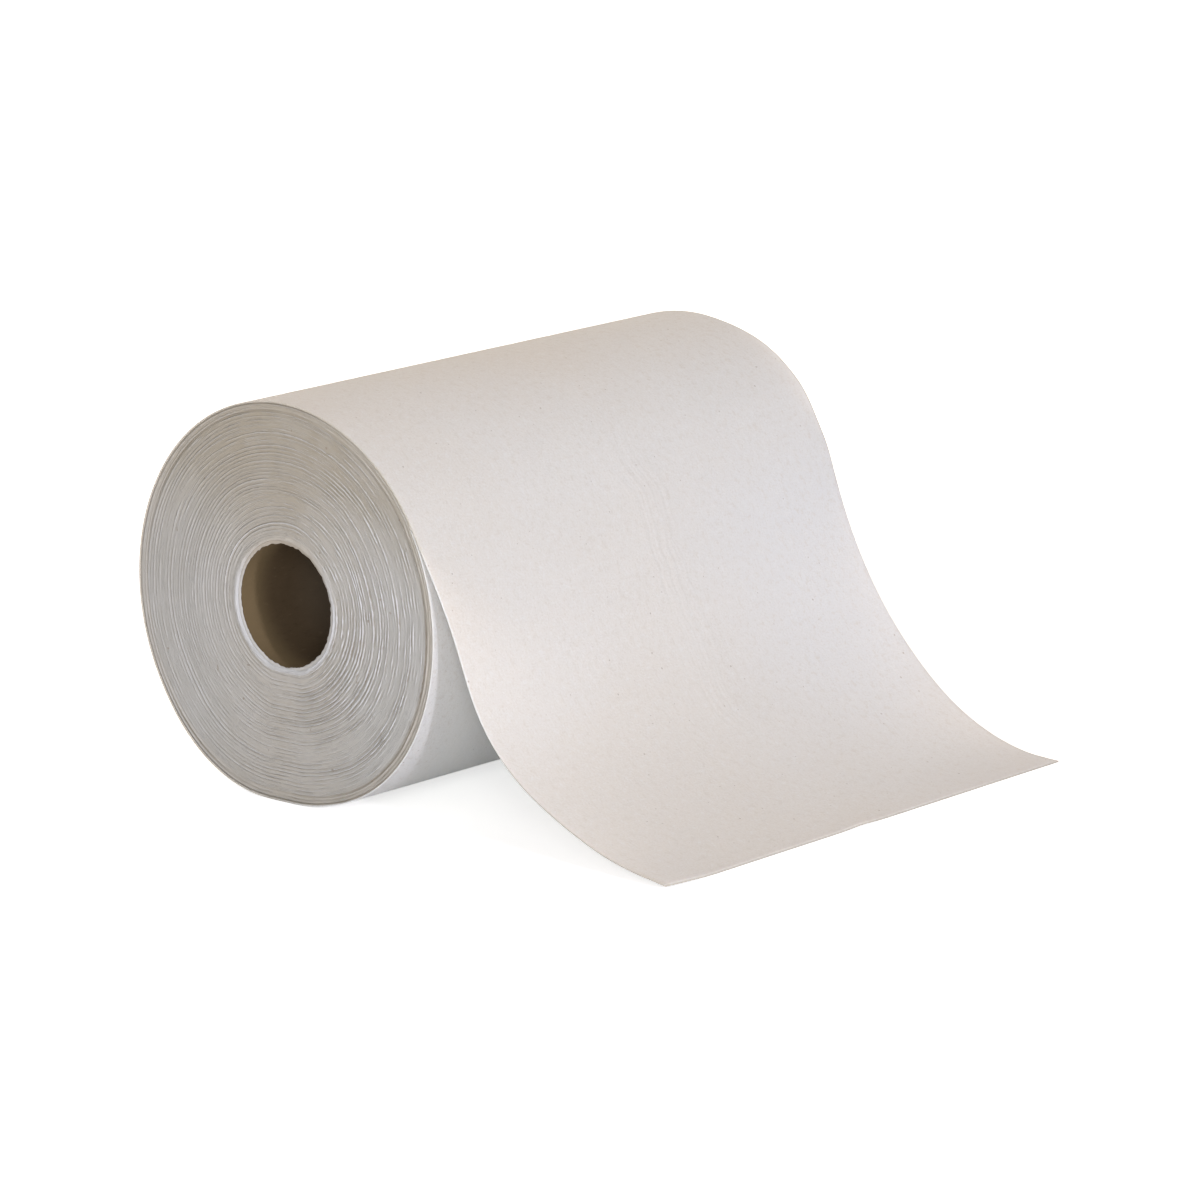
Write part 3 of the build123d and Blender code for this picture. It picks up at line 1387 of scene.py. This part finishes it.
@dataclass
class Studio:
    """Pale floor, plain soft light and the camera, which aren't part of the object.

    Azimuth is 0 on the -Y side and 90 on the +X side, and elevation is above the horizon. The
    floor's glow is seen by the camera only, and rises away from the object.
    """

    target: Vector
    distance: float = 2.104
    azimuth: float = math.degrees(0.7376)
    elevation: float = math.degrees(0.2311)
    roll: float = math.degrees(-0.0123)
    lens: float = 191.8
    floor_size: float = 40.0
    floor_paint: float = 0.94
    glow_near: float = 0.60
    glow_rise: float = 0.17
    glow_reach: tuple[float, float] = (0.22, 0.60)
    fill_colour: tuple[float, float, float] = (1.0, 0.97, 0.93)
    fill_strength: float = 0.36
    lamps: tuple[Lamp, ...] = (
        Lamp("key_light", 75.0, 15.0, 1.6, 0.08, 7.2, (0.91, 0.89, 1.0)),
        Lamp("front_light", 39.0, 12.0, 2.2, 0.9, 25.2, (0.965, 0.985, 1.0)),
        Lamp("back_light", 228.0, 46.0, 2.2, 1.8, 17.5, (1.0, 0.76, 0.53)),
        Lamp("rear_fill", 242.0, 10.0, 2.4, 1.2, 12.0, (0.97, 0.985, 1.0)),
    )

    def build(self) -> None:
        """Makes the floor, the lights, the world and the camera."""
        self.make_floor()
        self.make_world()
        for lamp in self.lamps:
            self.make_lamp(lamp)
        self.make_camera()

    def direction(self, azimuth: float, elevation: float) -> Vector:
        """Way from the object to a place on the dome round it.

        Args:
            azimuth: Degrees, 0 on the -Y side and 90 on the +X side.
            elevation: Degrees above the horizon.

        Returns:
            A unit vector.
        """
        around = math.radians(azimuth)
        up = math.radians(elevation)
        return Vector((math.sin(around) * math.cos(up), -math.cos(around) * math.cos(up), math.sin(up)))

    def make_camera(self) -> None:
        """Makes the camera at the photograph's viewing angle."""
        data = bpy.data.cameras.new("camera")
        data.lens = self.lens
        data.sensor_width = 36.0
        data.clip_end = 100.0
        camera = into_scene("camera", data)
        back = self.direction(self.azimuth, self.elevation)
        right = Vector((0, 0, 1)).cross(back).normalized()
        up = back.cross(right)
        turn = math.radians(self.roll)
        turned_right = right * math.cos(turn) + up * math.sin(turn)
        turned_up = up * math.cos(turn) - right * math.sin(turn)
        axes = Matrix((turned_right, turned_up, back)).transposed().to_4x4()
        camera.matrix_world = Matrix.Translation(self.target + back * self.distance) @ axes
        bpy.context.scene.camera = camera

    def make_lamp(self, lamp: Lamp) -> None:
        """Makes one lamp that looks at the object.

        Args:
            lamp: Where it stands and its light.
        """
        data = bpy.data.lights.new(lamp.name, "AREA")
        data.shape = "SQUARE"
        data.size = lamp.size
        data.energy = lamp.power
        data.color = lamp.colour
        light = into_scene(lamp.name, data)
        back = self.direction(lamp.azimuth, lamp.elevation)
        light.location = self.target + back * lamp.distance
        light.rotation_mode = "QUATERNION"
        light.rotation_quaternion = (-back).to_track_quat("-Z", "Y")

    def make_floor(self) -> None:
        """Makes the floor, white to the camera but for soft contact shadows."""
        mesh = bmesh.new()
        bmesh.ops.create_grid(mesh, x_segments=1, y_segments=1, size=self.floor_size / 2)
        material = bpy.data.materials.new("pale_floor")
        nodes = MaterialTree(material)
        paint = nodes.make("ShaderNodeBsdfDiffuse", Color=(*[self.floor_paint] * 3, 1))
        place = nodes.make("ShaderNodeTexCoord").outputs["Object"]
        length = nodes.make("ShaderNodeVectorMath", {"operation": "LENGTH"}, Vector=place)
        bright = nodes.value(length, "Value").ramp(*self.glow_reach) * self.glow_rise + self.glow_near
        seen_glow = self.seen_only(nodes) * bright
        glow = nodes.make("ShaderNodeEmission", Color=(1, 1, 1, 1), Strength=seen_glow)
        both = nodes.make("ShaderNodeAddShader")
        nodes.feed(both.inputs[0], paint.outputs["BSDF"])
        nodes.feed(both.inputs[1], glow.outputs["Emission"])
        nodes.finish(both.outputs["Shader"])
        as_piece(mesh, "floor", material)

    def make_world(self) -> None:
        """Makes the world, white to the camera and a soft warm fill to the object."""
        world = bpy.data.worlds.new("studio")
        bpy.context.scene.world = world
        nodes = MaterialTree(world)
        fill = nodes.make(
            "ShaderNodeBackground", Color=(*self.fill_colour, 1), Strength=self.fill_strength
        )
        white = nodes.make("ShaderNodeBackground", Color=(1, 1, 1, 1), Strength=1.0)
        mixed = nodes.make("ShaderNodeMixShader", Fac=self.seen_only(nodes))
        nodes.feed(mixed.inputs[1], fill.outputs["Background"])
        nodes.feed(mixed.inputs[2], white.outputs["Background"])
        nodes.finish(mixed.outputs["Shader"], "ShaderNodeOutputWorld")

    def seen_only(self, nodes: MaterialTree) -> Value:
        """Tells what the camera sees from what lights the object.

        Args:
            nodes: The tree that it is made in.

        Returns:
            1 for rays that the camera sees, directly or in gloss, and 0 for the others.
        """
        path = nodes.make("ShaderNodeLightPath")
        seen = nodes.value(path, "Is Camera Ray") + nodes.value(path, "Is Glossy Ray")
        return (seen + nodes.value(path, "Is Transmission Ray")).math("MINIMUM", 1.0)


def mount_of(record: dict, name: str) -> dict:
    """The record's mount of that name."""
    return next(mount for mount in record["mounts"] if mount["name"] == name)


def main() -> None:
    """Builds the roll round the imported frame."""
    logging.basicConfig(level=logging.INFO, format="%(name)s: %(message)s")
    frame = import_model()
    bpy.context.scene.view_settings.view_transform = "Standard"

    web_low, web_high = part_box("towel_web")
    core_low, core_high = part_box("core_tube")
    axis_height = mount_of(frame["record"], "core_bore")["pos_m"][2]
    bore_radius = mount_of(frame["record"], "core_bore")["dims"]["r_mm"] * MM
    core_radius = (core_high.x - core_low.x) / 2
    half_width = web_high.y
    section = RollSection(axis_height=axis_height, radius=-web_low.x, core_radius=core_radius)

    sheet = LooseSheet(
        section=section,
        half_width=half_width,
        near_fall=EdgeFall(((14.0, 1.1), (36.9, -12.2), (44.4, 41.1), (58.6, 20.2)), 60.0),
        far_fall=EdgeFall(((14.0, -12.5), (36.9, 13.2), (44.4, 20.0), (56.6, 39.3)), 60.0),
    )
    turns = WoundTurns(
        section=section,
        half_width=half_width,
        under_sheet=sheet.under_turn,
        seat=core_radius,
    )
    core = CoreTube(
        axis_height=axis_height,
        half_length=core_high.y,
        bore_radius=bore_radius,
        outer_radius=core_radius,
    )

    pieces = {
        "towel_web": (
            ("towel_paper", turns.build(TurnEdgeFinish().build(turns))),
            ("towel_paper", sheet.build(TowelPaperFinish().build())),
        ),
        "core_tube": (("core_board", core.build(CoreBoardFinish().build(core))),),
    }
    for node, made in pieces.items():
        for slot, piece in made:
            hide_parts(node)
            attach(piece, "root")
            LOG.info("%s: %d faces", piece.name, len(piece.data.polygons))

    Studio(target=Vector((46.84, 0, 56.41)) * MM).build()


if __name__ == "__main__":
    main()
